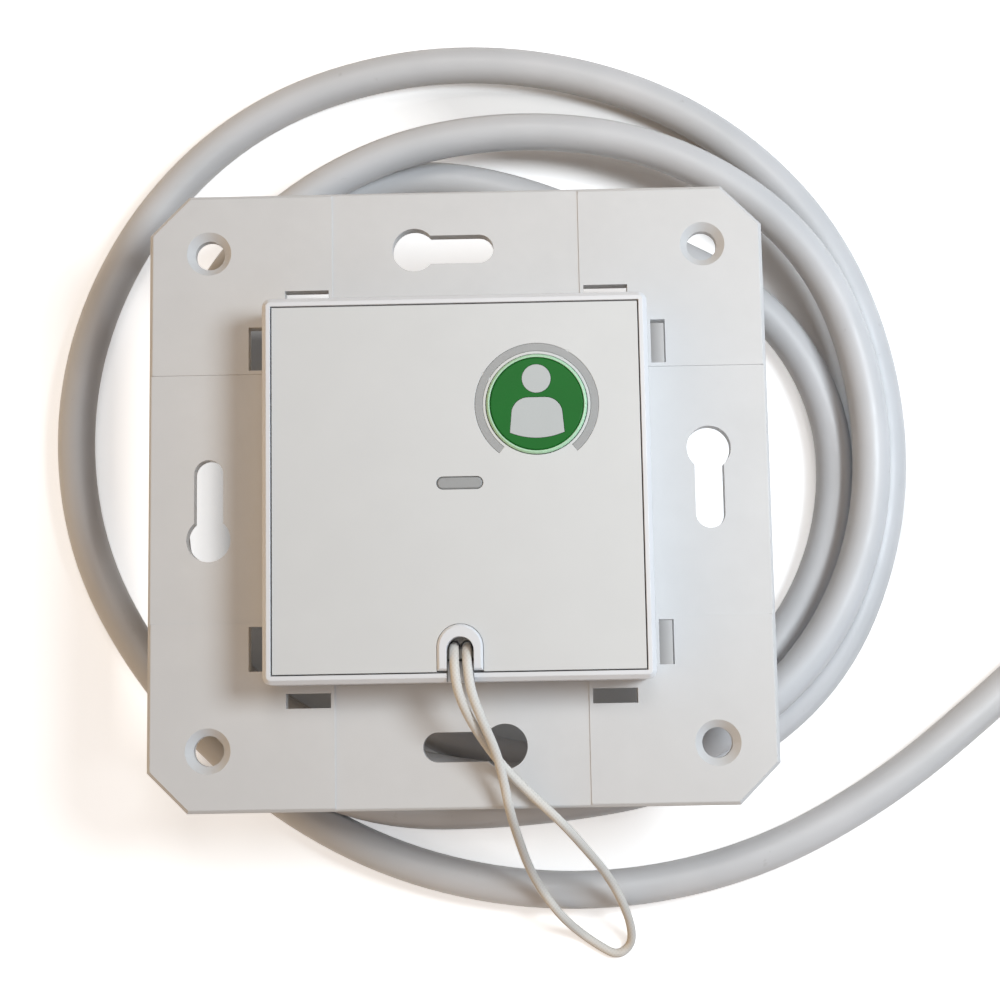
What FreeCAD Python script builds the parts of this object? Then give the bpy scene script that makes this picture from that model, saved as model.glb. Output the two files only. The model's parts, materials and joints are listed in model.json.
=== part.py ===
import FreeCAD, Part
import math
import os

# Nurse call module: a square mounting plate that carries a snap-in call housing, with a green call
# button, a light ring, a reassurance light, a pull cord that works a second switch, and a coiled lead.
# Millimetres. The origin is the middle of the module on the surface it lies on, +Z is the front.

V = FreeCAD.Vector

# Call housing and mounting plate
module_side = 45.0
bezel_height = 7.5
bezel_corner = 1.0
bezel_edge = 0.5
bezel_overhang = 0.8
rim_width = 1.0
ledge_width = 0.4
neck_height = 13.0
neck_wall = 1.3
corner_cut = 3.5
flange_thickness = 1.2
plate_side = 74.5
plate_corner_cut = 4.8
plate_thickness = 2.0
plate_edge = 0.4
fit_gap = 0.1

# Holes in the mounting plate
screw_spacing = 60.0
screw_hole_r = 1.8
countersink_r = 2.7
countersink_depth = 0.9
keyhole_round_r = 2.65
keyhole_slot_r = 1.75
keyhole_round_offset = 5.0
keyhole_slot_offset = 2.9
clip_slot_offset = 24.3
clip_slot_spread = 18.1
clip_slot_length = 5.3
clip_slot_width = 1.75
band_half = 15.0
band_depth = 0.12
hook_seat = 0.4
hook_seat_gap = 0.2

# Snap arms that hold the plate under the bezel
arm_spread = 9.0
arm_width = 5.0
arm_length = 8.0
arm_slot = 0.6
hook_reach = 0.8
hook_height = 3.0
hook_lip = 0.75

# Front panel
panel_thickness = 1.6
panel_recess = 0.15
panel_gap = 0.15
post_length = 8.25
post_side = 3.6
post_inset = 3.2
pilot_gap = 0.05

# Call button
button_x = 9.43
button_y = 9.36
button_r = 5.85
button_bore_gap = 0.08
button_proud = 0.2
button_edge = 0.2
button_height = 5.5
button_wall = 0.9
button_roof = 1.3
button_travel = 0.8
lug_reach = 1.05
lug_height = 0.9
lug_arc = 16.0
lug_angles = (0.0, 105.0, 270.0)
guide_wall = 1.77
guide_height = 2.55
disc_r = 5.45
disc_depth = 0.75
disc_edge = 0.15
inlay_gap = 0.03
symbol_depth = 0.35
head_r = 1.67
head_rise = 2.94
chest_half_width = 2.95
hip_half_width = 3.15
shoulder_r = 1.95
chest_top = 0.74
hip_drop = 3.36
belly_drop = 4.0
center_post_r = 1.6
stem_r = 1.7
switch_side = 6.0
switch_height = 3.5
stem_hole_depth = 2.1
stem_proud = 1.0
stem_length = 2.0
small_edge = 0.4

# Return dome under the button
dome_foot_r = 5.6
dome_foot_width = 0.9
dome_foot_height = 0.7
dome_top_r = 5.75
dome_top_width = 0.75
dome_web = 0.35

# Light ring round the button
arc_inner_r = 6.25
arc_outer_r = 7.2
arc_start = -50.3
arc_sweep = 282.3
arc_depth = 0.8
arc_leg_side = 0.85
arc_leg_angles = (60.0, 150.0)
led_side = 1.4
led_height = 0.7
led_gap = 0.3

# Reassurance light
lens_x = 0.38
lens_y = 0.33
lens_length = 5.3
lens_width = 1.4
lens_flange = 0.6
lens_flange_height = 1.0
lens_leg_length = 2.6
lens_leg_width = 1.1
lens_edge = 0.15

# Cord outlet bush
outlet_x = 0.13
outlet_half_width = 1.55
bush_reach = 5.43
bush_side = 1.08
bush_crown = 1.42
bush_proud = 0.2
bush_edge = 0.25
bush_flange = 0.7
bush_flange_height = 1.0
bush_foot_gap = 0.15
ramp_r = 2.5
ramp_top_drop = 0.8
notch_depth = 1.6
tongue_gap = 0.05

# Pull slide, its rails and its switch
pull_travel = 1.0
pull_stop_gap = 0.3
slide_half_width = 3.9
slide_length = 8.4
slide_height = 2.8
slide_drop = 1.45
slide_gap = 0.1
rail_wall = 1.2
rail_lip = 0.5
rail_lip_height = 0.7
rail_back = 1.0
cord_hole_inset = 1.4
cord_hole_gap = 0.15
ferrule_length = 3.3
ferrule_width = 1.6
ferrule_height = 1.9
pull_switch_y = -13.0
pull_switch_length = 5.0
pull_switch_width = 3.2
pull_switch_height = 2.9
plunger_r = 0.7
plunger_tip_r = 0.35
plunger_proud = 0.5
plunger_length = 2.0
plunger_ratio = 0.3
plunger_gap = 0.1
wedge_half_width = 1.2

# Meander spring that draws the slide back
spring_anchor_half = 1.2
spring_anchor_wall = 0.7
spring_mouth = 0.6
spring_strip = 0.25
spring_height = 1.6
spring_bend_r = 0.75
spring_half_width = 2.4
spring_bends = 4

# Circuit board
board_thickness = 1.6
board_gap = 0.6
board_corner_cut = 2.9
shelf_width = 1.2
shelf_height = 1.5
shelf_half_length = 14.0
board_screw_r = 0.8
board_screw_head_r = 1.6
board_screw_head_height = 1.3
board_screw_length = 7.0
chip_side = 7.0
chip_height = 1.0
chip_x = 5.5
chip_y = 4.0
capacitor_r = 2.0
capacitor_height = 5.0
capacitor_y = -9.0
capacitor_x = (8.0, 13.0)
small_part_length = 2.0
small_part_width = 1.25
small_part_height = 0.6
small_part_x = (-8.0, -4.5, -1.0)
small_part_y = (-10.0, -6.0)

# Rear cover
cover_height = 9.0
cover_wall = 1.5
cover_floor = 1.6
cover_edge = 0.8
lip_height = 2.0
lip_wall = 1.2
cover_screw_inset = 4.5
cover_screw_r = 1.1
cover_screw_head_r = 2.5
cover_screw_head_height = 1.8
cover_screw_bite = 6.0
cover_screw_sink = 3.0
screw_play = 0.2
column_wall = 0.7
boss_r = 2.4
boss_height = 7.0
boss_web = 1.6

# Lead inlet at the back
cable_d = 4.8
gland_x = -17.6
gland_z = 4.1
recess_end = 0.0
recess_side = -14.0
recess_turn = -11.5
recess_mouth = -7.2
recess_top = 7.5
gland_r = 3.0
gland_flange_r = 3.3
gland_flange = 0.9
gland_tail = 5.5
gland_tail_wall = 0.25
clamp_start = 3.2
clamp_length = 3.0
clamp_thickness = 1.4
clamp_bottom = 6.0
clamp_left_gap = 0.3
clamp_screw_reach = 6.7
clamp_end_reach = 2.6
clamp_screw_r = 1.0
clamp_screw_head_r = 1.9
clamp_screw_head_height = 1.3
clamp_screw_length = 3.6
clamp_boss_r = 2.1

# Cores and their plug on the board
core_r = 0.5
core_spread = 0.9
core_pitch = 2.54
core_start_length = 0.8
header_x = -16.0
header_y = 10.6
header_side = 6.4
header_height = 3.5
header_pocket = 2.4
wire_plug_side = 5.6
wire_plug_length = 6.2
header_gap = 0.05

# Put-away end of the lead
coil_x = 104.8
coil_y = -31.1
coil_inner_r = 24.1
coil_outer_r = 28.9
coil_top_z = 6.7
coil_flats = 32
plug_heading = 53.0
plug_x = 95.5
plug_y = 21.5
plug_z = 3.3
boot_length = 12.0
boot_rear_r = 2.9
boot_front_r = 3.25
plug_length = 21.5
plug_width = 11.7
plug_height = 6.6
plug_edge = 0.3
latch_length = 13.0
latch_width = 6.0
latch_thickness = 0.8
latch_rise = 2.0
latch_root = 2.0
latch_set_back = 1.0
contact_count = 8
contact_pitch = 1.02
contact_width = 0.35
contact_length = 5.0
contact_height = 2.2
contact_set_back = 0.5
contact_lift = 0.3

# Pull cord, and how the cords are drawn: flats round the section, share of a run that its arc takes
pull_cord_d = 1.1
lead_flats = 6
thin_cord_flats = 4
arc_share = 0.45

# Routes of the two cords, chosen point by point
lead_route = [
    (-17.6, 7.0, 4.1), (-17.55, 1.0, 4.1), (-17.6, -9.4, 3.8), (-13.8, -19.2, 3.1), (-6.8, -27.0, 2.5),
    (2.6, -31.8, 2.4), (13.0, -32.9, 2.4), (23.5, -30.9, 2.4), (36.0, -23.5, 2.4), (47.0, -8.5, 2.4),
    (49.5, 10.5, 2.4), (40.5, 28.0, 2.4), (24.5, 40.0, 2.4), (5.5, 46.0, 2.4), (-13.5, 44.0, 2.4),
    (-29.5, 33.0, 2.4), (-39.0, 16.0, 2.4), (-41.0, -3.0, 2.4), (-33.0, -19.5, 2.4), (-18.5, -29.5, 2.4),
    (0.5, -35.0, 7.6), (20.0, -34.5, 7.4), (40.0, -25.5, 7.4), (51.5, -7.5, 7.4), (53.0, 14.0, 7.4),
    (46.0, 34.0, 7.4), (28.5, 47.0, 7.4), (7.5, 50.5, 7.4), (-13.0, 46.5, 7.4), (-30.5, 33.5, 7.4),
    (-39.0, 14.0, 7.4), (-39.0, -7.0, 7.6), (-32.5, -27.0, 7.4), (-14.0, -38.5, 2.4), (8.5, -38.5, 2.4),
    (29.5, -35.0, 2.4), (47.0, -23.0, 2.4), (55.5, -3.0, 2.4), (55.5, 18.0, 2.4), (48.0, 38.0, 2.4),
    (32.5, 53.0, 2.4), (12.5, 60.5, 2.4), (-8.5, 61.0, 2.4), (-28.5, 54.0, 2.4), (-43.5, 39.0, 2.4),
    (-51.5, 19.0, 2.4), (-50.5, -2.5, 2.4), (-42.0, -21.5, 2.4), (-27.0, -37.0, 2.4), (-8.0, -46.0, 2.4),
    (13.0, -49.5, 2.4), (34.0, -46.5, 2.4), (52.5, -37.5, 2.4), (69.5, -24.0, 2.4), (85.5, -9.6, 2.4),
]
lead_end_route = [
    (78.3, -31.1, 7.0), (78.4, -20.0, 7.4), (80.0, -8.5, 7.4), (83.6, 2.6, 4.6), (88.8, 12.6, 3.3),
    (95.5, 21.5, 3.3), (102.2, 30.2, 3.2),
]
pull_route = [
    (-0.6, -18.4, 21.9), (-0.65, -18.4, 24.8), (-0.6, -18.4, 27.7), (-0.55, -20.6, 29.9),
    (-0.2, -23.6, 29.9), (1.0, -26.6, 28.4), (2.7, -29.5, 25.6), (4.8, -32.4, 23.3), (7.9, -35.6, 22.9),
    (11.4, -38.8, 22.7), (14.7, -42.8, 17.0), (17.3, -46.3, 9.6), (19.2, -49.9, 6.5),
    (20.4, -53.3, 2.6), (20.5, -55.8, 0.6), (18.7, -57.2, 0.6), (16.3, -55.9, 0.6), (13.8, -54.1, 0.9),
    (11.3, -51.4, 5.6), (9.0, -48.1, 6.7), (7.4, -44.8, 10.4), (6.3, -41.0, 16.8), (5.4, -37.4, 23.6),
    (4.8, -33.9, 24.5), (4.0, -30.5, 26.4), (2.5, -26.9, 28.7), (1.3, -23.6, 29.9), (0.9, -20.6, 29.9),
    (0.85, -18.4, 27.7), (0.9, -18.4, 24.8), (0.85, -18.4, 21.9),
]

# Levels and sides that follow from the sizes above
z_neck = cover_height
z_bezel = z_neck + neck_height
z_front = z_bezel + bezel_height
z_plate = z_bezel - plate_thickness
neck_side = module_side - 2 * bezel_overhang
neck_inner = neck_side - 2 * neck_wall
pocket_side = module_side - 2 * rim_width
bay_side = pocket_side - 2 * ledge_width
panel_side = pocket_side - 2 * panel_gap
z_panel = z_front - panel_recess
z_panel_back = z_panel - panel_thickness
z_board = z_panel_back - post_length
z_board_back = z_board - board_thickness
board_side = neck_inner - 2 * board_gap
post_offset = board_side / 2 - post_inset
plate_opening = neck_side + 2 * fit_gap
hook_seat_side = neck_side + 2 * (hook_reach + hook_seat_gap)
z_arm = z_plate + hook_seat
button_bore_r = button_r + button_bore_gap
z_button = z_panel + button_proud + panel_recess
z_skirt = z_button - button_height
z_guide = z_panel_back - guide_height
arc_mid_r = (arc_inner_r + arc_outer_r) / 2
bush_half_width = outlet_half_width + bush_side
bush_crown_y = -panel_side / 2 + bush_reach
hole_crown_y = bush_crown_y - bush_crown
bush_foot_y = -panel_side / 2 + bush_foot_gap
z_notch = z_front - notch_depth
slide_front = -bay_side / 2 + pull_travel + pull_stop_gap
slide_back = slide_front + slide_length
z_slide_top = z_panel_back - slide_drop
z_slide = z_slide_top - slide_height
cord_hole_y = slide_front + cord_hole_inset
z_stem_top = z_board + switch_height + stem_proud
z_plunger_top = z_board + pull_switch_height + plunger_proud
z_spring = z_slide + (slide_height - spring_height) / 2
z_plug = z_board_back - header_height + header_pocket - wire_plug_length
spring_start_y = slide_back - 2 * spring_bend_r + fit_gap
spring_end_y = spring_start_y + 2 * spring_bend_r * spring_bends
cord_hole_x = (pull_route[0][0], pull_route[-1][0])
cover_screw_y = neck_side / 2 - cover_screw_inset
clamp_screw_x = gland_x + clamp_screw_reach
clamp_screw_y = clamp_start + clamp_length / 2
cable_r = cable_d / 2
cut_margin = 1.0
same_level = 0.0001
cover_screw_length = cover_height - cover_screw_sink + cover_screw_bite
z_lip = clamp_bottom + clamp_thickness + fit_gap


def block(x0, x1, y0, y1, z0, z1):
    return Part.makeBox(x1 - x0, y1 - y0, z1 - z0, V(x0, y0, z0))


def centred(x, y, length, width, z0, z1):
    return block(x - length / 2, x + length / 2, y - width / 2, y + width / 2, z0, z1)


def rod(radius, x, y, z0, z1):
    return Part.makeCylinder(radius, z1 - z0, V(x, y, z0))


def rod_along_y(radius, x, z, y0, y1):
    return Part.makeCylinder(radius, y1 - y0, V(x, y0, z), V(0, 1, 0))


def extruded(points, z0, z1):
    corners = [V(x, y, z0) for x, y in points]
    face = Part.Face(Part.makePolygon(corners + corners[:1]))
    return face.extrude(V(0, 0, z1 - z0))


def square(side, z0, z1, radius=0.0):
    half = side / 2
    shape = block(-half, half, -half, half, z0, z1)
    if radius > 0:
        shape = shape.makeFillet(radius, upright_edges(shape))
    return shape


def cut_square(side, cut, z0, z1):
    h = side / 2
    points = [(-h, -h + cut), (-h, h - cut), (-h + cut, h), (h - cut, h),
              (h, h - cut), (h, -h + cut), (h - cut, -h), (-h + cut, -h)]
    return extruded(points, z0, z1)


def inset_cut(cut, wall):
    """The corner cut of an outline that lies a wall inside another, parallel to it all round."""
    return cut - wall * (2 - math.sqrt(2))


def upright_edges(shape):
    boxes = [(edge, edge.BoundBox) for edge in shape.Edges]
    return [edge for edge, box in boxes if max(box.XLength, box.YLength) < same_level < box.ZLength]


def edges_at(shape, z):
    boxes = [(edge, edge.BoundBox) for edge in shape.Edges]
    return [edge for edge, box in boxes if max(abs(box.ZMin - z), abs(box.ZMax - z)) < same_level]


def stadium(x, y, length, width, z0, z1):
    r = width / 2
    run = (length - width) / 2
    bar = block(x - run, x + run, y - r, y + r, z0, z1)
    return bar.multiFuse([rod(r, x - run, y, z0, z1), rod(r, x + run, y, z0, z1)]).removeSplitter()


def turned(profile):
    """A solid of revolution about Z from points given as (radius, height)."""
    corners = [V(r, 0, z) for r, z in profile]
    face = Part.Face(Part.makePolygon(corners + corners[:1]))
    return face.revolve(V(0, 0, 0), V(0, 0, 1), 360)


def four_ways(shape):
    copies = []
    for quarter in range(4):
        copy = shape.copy()
        copy.rotate(V(0, 0, 0), V(0, 0, 1), -90 * quarter)
        copies.append(copy)
    return copies


def four_corners(offset):
    return [(sx * offset, sy * offset) for sx in (-1, 1) for sy in (-1, 1)]


def around_button(radius, angle):
    a = math.radians(angle)
    return button_x + radius * math.cos(a), button_y + radius * math.sin(a)


def arch(half_width, crown_y, foot_y, z0, z1):
    """An upright arch about the cord outlet: a half circle at the crown and straight legs."""
    mid_y = crown_y - half_width
    left, right = outlet_x - half_width, outlet_x + half_width
    top = Part.Arc(V(left, mid_y, z0), V(outlet_x, crown_y, z0), V(right, mid_y, z0)).toShape()
    corners = [(right, mid_y), (right, foot_y), (left, foot_y), (left, mid_y)]
    legs = Part.makePolygon([V(x, y, z0) for x, y in corners])
    return Part.Face(Part.Wire([top] + legs.Edges)).extrude(V(0, 0, z1 - z0))


def cord_section(start, heading, diameter, flats):
    """A many-sided outline across the heading, with a corner straight down where the cord lies level."""
    heading.normalize()
    level = V(0, 0, 1).cross(heading) if abs(heading.z) < math.sqrt(0.5) else V(1, 0, 0)
    level.normalize()
    upright = heading.cross(level)
    radius = diameter / 2
    corners = []
    for k in range(flats):
        a = math.pi / 2 + 2 * math.pi * k / flats
        corners.append(start + level * (radius * math.cos(a)) + upright * (radius * math.sin(a)))
    return Part.makePolygon(corners + corners[:1])


def cord_tube(name, route, diameter, flats):
    """Straight runs joined by tangent arcs: runs are extruded, arcs are revolved, and all are sewn."""
    points = [V(*p) for p in route]
    section = cord_section(points[0], points[1] - points[0], diameter, flats)
    faces = [Part.Face(section)]
    area = faces[0].Area
    length, radii = 0.0, []
    last = points[0]
    for before, corner, after in zip(points, points[1:], points[2:]):
        back, ahead = before - corner, after - corner
        reach = arc_share * min(back.Length, ahead.Length)
        back.normalize()
        ahead.normalize()
        turn = math.pi - back.getAngle(ahead)
        radius = reach / math.tan(turn / 2)
        inward = back + ahead
        inward.normalize()
        centre = corner + inward * (radius / math.cos(turn / 2))
        run = corner + back * reach - last
        faces += section.extrude(run).Faces
        section = section.translated(run)
        axis = ahead.cross(back)
        faces += section.revolve(centre, axis, math.degrees(turn)).Faces
        section = section.rotated(centre, axis, math.degrees(turn))
        last = corner + ahead * reach
        length += run.Length + radius * turn
        radii.append(radius)
    run = points[-1] - last
    length += run.Length
    faces += section.extrude(run).Faces
    faces.append(Part.Face(section.translated(run)))
    skin = Part.makeShell(faces)
    skin.sewShape()
    tube = Part.makeSolid(skin)
    if tube.Volume < 0:
        tube.reverse()
    print(f"{name}: length {length:.1f}, least arc {min(radii):.2f} at point {radii.index(min(radii)) + 1}")
    print(f"{name}: volume over section times length {tube.Volume / (area * length):.4f}")
    return tube


# Mounting plate

def keyhole(z0, z1):
    y = screw_spacing / 2
    r = keyhole_slot_r
    slot = block(-keyhole_round_offset, keyhole_slot_offset, y - r, y + r, z0, z1)
    head = rod(keyhole_round_r, -keyhole_round_offset, y, z0, z1)
    end = rod(r, keyhole_slot_offset, y, z0, z1)
    return slot.multiFuse([head, end]).removeSplitter()


def at_clips(length, width, z0, z1):
    """The same block at each of the eight places for the cover frame's clips."""
    blocks = []
    for s in (-1, 1):
        blocks += four_ways(centred(s * clip_slot_spread, clip_slot_offset, length, width, z0, z1))
    return blocks


def mounting_plate():
    """A flat plate, thinner between the clip slots, with a step on its back where the hooks seat."""
    plate = cut_square(plate_side, plate_corner_cut, z_plate, z_bezel)
    plate = plate.makeChamfer(plate_edge, edges_at(plate, z_bezel))
    low, high = z_plate - cut_margin, z_bezel + cut_margin
    holes = [cut_square(plate_opening, corner_cut, low, high)]
    holes.append(cut_square(hook_seat_side, corner_cut, low, z_plate + hook_seat))
    holes += four_ways(block(-band_half, band_half, 0, plate_side, z_bezel - band_depth, high))
    for x, y in four_corners(screw_spacing / 2):
        holes.append(rod(screw_hole_r, x, y, low, high))
        sink = V(x, y, z_bezel - countersink_depth)
        holes.append(Part.makeCone(screw_hole_r, countersink_r, countersink_depth, sink))
    holes += four_ways(keyhole(low, high))
    holes += at_clips(clip_slot_length, clip_slot_width, low, high)
    return plate.cut(holes)


# Front housing: bezel, neck, snap arms, board shelves and screw bosses in one moulding

def arm_hook(side, y):
    top = z_arm - fit_gap
    face = neck_side / 2
    tip, root = face + hook_reach, face - neck_wall / 2
    profile = [V(root, 0, top), V(tip, 0, top), V(tip, 0, top - hook_lip),
               V(face, 0, top - hook_height), V(root, 0, top - hook_height)]
    hook = Part.Face(Part.makePolygon(profile + profile[:1])).extrude(V(0, arm_width, 0))
    hook.translate(V(0, y - arm_width / 2, 0))
    if side < 0:
        hook = hook.mirror(V(0, 0, 0), V(1, 0, 0))
    return hook


def arm_slots(side, y):
    top = z_arm
    low = top - arm_length
    x0, x1 = sorted((side * (neck_inner / 2 - cut_margin), side * (neck_side / 2 + cut_margin)))
    half = arm_width / 2
    left = block(x0, x1, y - half - arm_slot, y - half, low, top)
    right = block(x0, x1, y + half, y + half + arm_slot, low, top)
    over = block(x0, x1, y - half - arm_slot, y + half + arm_slot, top, top + arm_slot)
    return [left, right, over]


def board_shelf(side):
    y0, y1 = sorted((side * (neck_inner / 2 - shelf_width), side * (neck_inner / 2 + neck_wall / 2)))
    return block(-shelf_half_length, shelf_half_length, y0, y1, z_board, z_board + shelf_height)


def cover_boss(side):
    y = side * cover_screw_y
    y0, y1 = sorted((y, side * (neck_inner / 2 + neck_wall / 2)))
    web = block(-boss_web / 2, boss_web / 2, y0, y1, z_neck + lip_height + fit_gap, z_neck + boss_height)
    return rod(boss_r, 0, y, z_neck, z_neck + boss_height).fuse(web)


def front_housing():
    bezel = square(module_side, z_bezel, z_front, bezel_corner)
    bezel = bezel.makeChamfer(bezel_edge, edges_at(bezel, z_front))
    shell = bezel.fuse(cut_square(neck_side, corner_cut, z_neck, z_bezel)).removeSplitter()
    pocket = square(pocket_side, z_panel_back, z_front + cut_margin)
    bay = square(bay_side, z_bezel + flange_thickness, z_panel_back)
    inner_cut = inset_cut(corner_cut, neck_wall)
    neck = cut_square(neck_inner, inner_cut, z_neck - cut_margin, z_bezel + flange_thickness)
    notch = centred(outlet_x, -module_side / 2, 2 * outlet_half_width, 2 * (rim_width + cut_margin),
                    z_notch, z_front + cut_margin)
    shell = shell.cut([pocket, bay, neck, notch])
    sides = [(s, t * arm_spread) for s in (-1, 1) for t in (-1, 1)]
    shell = shell.cut([slot for s, y in sides for slot in arm_slots(s, y)])
    shell = shell.multiFuse([arm_hook(s, y) for s, y in sides])
    shell = shell.multiFuse([board_shelf(s) for s in (-1, 1)] + [cover_boss(s) for s in (-1, 1)])
    low, high = z_neck - cut_margin, z_neck + cover_screw_bite + fit_gap
    pilots = [rod(cover_screw_r + pilot_gap, 0, s * cover_screw_y, low, high) for s in (-1, 1)]
    return shell.cut(pilots).removeSplitter()


# Front panel with its posts, button guide, spring anchor and slide rails

def board_screw_places():
    return [(-post_offset, post_offset), (post_offset, -post_offset)]


def light_arc(inner, outer, z0, z1):
    sector = Part.makeCylinder(outer, z1 - z0, V(0, 0, z0), V(0, 0, 1), arc_sweep)
    ring = sector.cut(rod(inner, 0, 0, z0 - cut_margin, z1 + cut_margin))
    ring.rotate(V(0, 0, 0), V(0, 0, 1), arc_start)
    ring.translate(V(button_x, button_y, 0))
    return ring


def slide_rail(side):
    inner = slide_half_width + slide_gap
    z0 = z_slide - slide_gap - rail_lip_height
    y0, y1 = -neck_inner / 2 + 2 * fit_gap, slide_back - rail_back
    outer_x, inner_x = outlet_x + side * (inner + rail_wall), outlet_x + side * inner
    lip_x = outlet_x + side * (inner - rail_lip)
    wall = block(min(outer_x, inner_x), max(outer_x, inner_x), y0, y1, z0, z_panel_back)
    low = block(min(outer_x, lip_x), max(outer_x, lip_x), y0, y1, z0, z0 + rail_lip_height)
    high = block(min(outer_x, lip_x), max(outer_x, lip_x), y0, y1, z_slide_top + slide_gap, z_panel_back)
    return wall.multiFuse([low, high]).removeSplitter()


def spring_anchor():
    """A fork under the panel that holds the last lane of the meander spring."""
    y0, y1 = spring_end_y - spring_anchor_wall, spring_end_y + spring_strip + spring_anchor_wall
    x0, x1 = outlet_x - spring_anchor_half, outlet_x + spring_anchor_half
    fork = block(x0, x1, y0, y1, z_spring - spring_strip, z_panel_back)
    lane_low, lane_high = spring_end_y - pilot_gap, spring_end_y + spring_strip + pilot_gap
    lane = block(x0 - cut_margin, x1 + cut_margin, lane_low, lane_high,
                 z_spring - cut_margin, z_spring + spring_height + pilot_gap)
    return fork.cut(lane)


def board_post(x, y):
    return centred(x, y, post_side, post_side, z_board, z_panel_back)


def light_leg(angle, side, z0, z1):
    x, y = around_button(arc_mid_r, angle)
    return centred(x, y, side, side, z0, z1)


def front_panel():
    panel = square(panel_side, z_panel_back, z_panel)
    posts = [board_post(x, y) for x, y in four_corners(post_offset)]
    guide = rod(button_bore_r + guide_wall, button_x, button_y, z_guide, z_panel_back)
    panel = panel.multiFuse(posts + [guide, spring_anchor(), slide_rail(-1), slide_rail(1)])
    low, high = z_board - cut_margin, z_panel + cut_margin
    cuts = [rod(button_bore_r, button_x, button_y, low, high)]
    cuts.append(light_arc(arc_inner_r, arc_outer_r, z_panel - arc_depth, high))
    cuts += [light_leg(angle, arc_leg_side + 2 * tongue_gap, low, high) for angle in arc_leg_angles]
    cuts.append(stadium(lens_x, lens_y, lens_length + fit_gap, lens_width + fit_gap, low, high))
    cuts.append(arch(bush_half_width + tongue_gap, bush_crown_y + tongue_gap, -module_side / 2,
                     z_panel_back - fit_gap, high))
    pilot_top = z_board_back + board_screw_length + fit_gap
    cuts += [rod(board_screw_r + pilot_gap, x, y, low, pilot_top) for x, y in board_screw_places()]
    return panel.cut(cuts).removeSplitter()


# Call button, its green disc with the person symbol, and what lies under it

def call_button():
    body = rod(button_r, button_x, button_y, z_skirt, z_button)
    body = body.makeChamfer(button_edge, edges_at(body, z_button))
    lugs = []
    for angle in lug_angles:
        lug = Part.makeCylinder(button_r + lug_reach, lug_height, V(0, 0, z_skirt), V(0, 0, 1), lug_arc)
        lug.rotate(V(0, 0, 0), V(0, 0, 1), angle - lug_arc / 2)
        lug.translate(V(button_x, button_y, 0))
        lugs.append(lug)
    body = body.multiFuse(lugs)
    roof = z_button - disc_depth - button_roof
    hollow = rod(button_r - button_wall, button_x, button_y, z_skirt - cut_margin, roof)
    recess = rod(disc_r + inlay_gap, button_x, button_y, z_button - disc_depth, z_button + cut_margin)
    post = rod(center_post_r, button_x, button_y, z_stem_top, roof + button_roof / 2)
    return body.cut([hollow, recess]).fuse(post).removeSplitter()


def symbol_head(gap, z0, z1):
    return rod(head_r + gap, button_x, button_y + head_rise, z0, z1)


def symbol_body(gap, z0, z1):
    """Head-and-shoulders figure: a flat neck line, round shoulders, spreading sides and a curved hem."""
    x, y = button_x, button_y
    chest, hip = chest_half_width + gap, hip_half_width + gap
    top, hem, low = y + chest_top + gap, y - hip_drop - gap, y - belly_drop - gap
    r = shoulder_r
    bend = r * (1 - math.sqrt(0.5))

    def shoulder(side):
        ends = (V(x + side * chest, top - r, z0), V(x + side * (chest - r), top, z0))
        middle = V(x + side * (chest - bend), top - bend, z0)
        return Part.Arc(ends[0], middle, ends[1]).toShape()

    neck_line = Part.LineSegment(V(x - chest + r, top, z0), V(x + chest - r, top, z0)).toShape()
    edges = [shoulder(-1), neck_line, shoulder(1),
             Part.LineSegment(V(x + chest, top - r, z0), V(x + hip, hem, z0)).toShape(),
             Part.Arc(V(x + hip, hem, z0), V(x, low, z0), V(x - hip, hem, z0)).toShape(),
             Part.LineSegment(V(x - hip, hem, z0), V(x - chest, top - r, z0)).toShape()]
    wire = Part.Wire(Part.__sortEdges__(edges))
    return Part.Face(wire).extrude(V(0, 0, z1 - z0))


def button_disc():
    z0 = z_button - disc_depth
    disc = rod(disc_r, button_x, button_y, z0, z_button)
    disc = disc.makeChamfer(disc_edge, edges_at(disc, z_button))
    floor, top = z_button - symbol_depth, z_button + cut_margin
    return disc.cut([symbol_head(inlay_gap, floor, top), symbol_body(inlay_gap, floor, top)])


def button_symbol():
    floor = z_button - symbol_depth
    return Part.makeCompound([symbol_head(0, floor, z_button), symbol_body(0, floor, z_button)])


def switch_stem():
    return rod(stem_r, button_x, button_y, z_stem_top - stem_length, z_stem_top)


def button_switch():
    top = z_board + switch_height
    body = centred(button_x, button_y, switch_side, switch_side, z_board, top)
    body = body.makeChamfer(small_edge, upright_edges(body))
    return body.cut(rod(stem_r + pilot_gap, button_x, button_y, top - stem_hole_depth, top + cut_margin))


def return_dome():
    foot_in, top_in = dome_foot_r - dome_foot_width, dome_top_r - dome_top_width
    z0, z1 = z_board, z_skirt
    profile = [(foot_in, z0), (dome_foot_r, z0), (foot_in + dome_web, z0 + dome_foot_height),
               (dome_top_r, z1), (top_in, z1), (foot_in, z0 + dome_foot_height)]
    dome = turned(profile)
    dome.translate(V(button_x, button_y, 0))
    return dome


# Lights

def ring_light_guide():
    ring = light_arc(arc_inner_r + inlay_gap, arc_outer_r - inlay_gap, z_panel - arc_depth, z_panel)
    low = z_board + led_height + led_gap
    legs = [light_leg(a, arc_leg_side, low, z_panel - arc_depth / 2) for a in arc_leg_angles]
    return ring.multiFuse(legs).removeSplitter()


def light_chip(x, y):
    return centred(x, y, led_side, led_side, z_board, z_board + led_height)


def ring_leds():
    return Part.makeCompound([light_chip(*around_button(arc_mid_r, a)) for a in arc_leg_angles])


def indicator_led():
    return light_chip(lens_x, lens_y)


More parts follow.
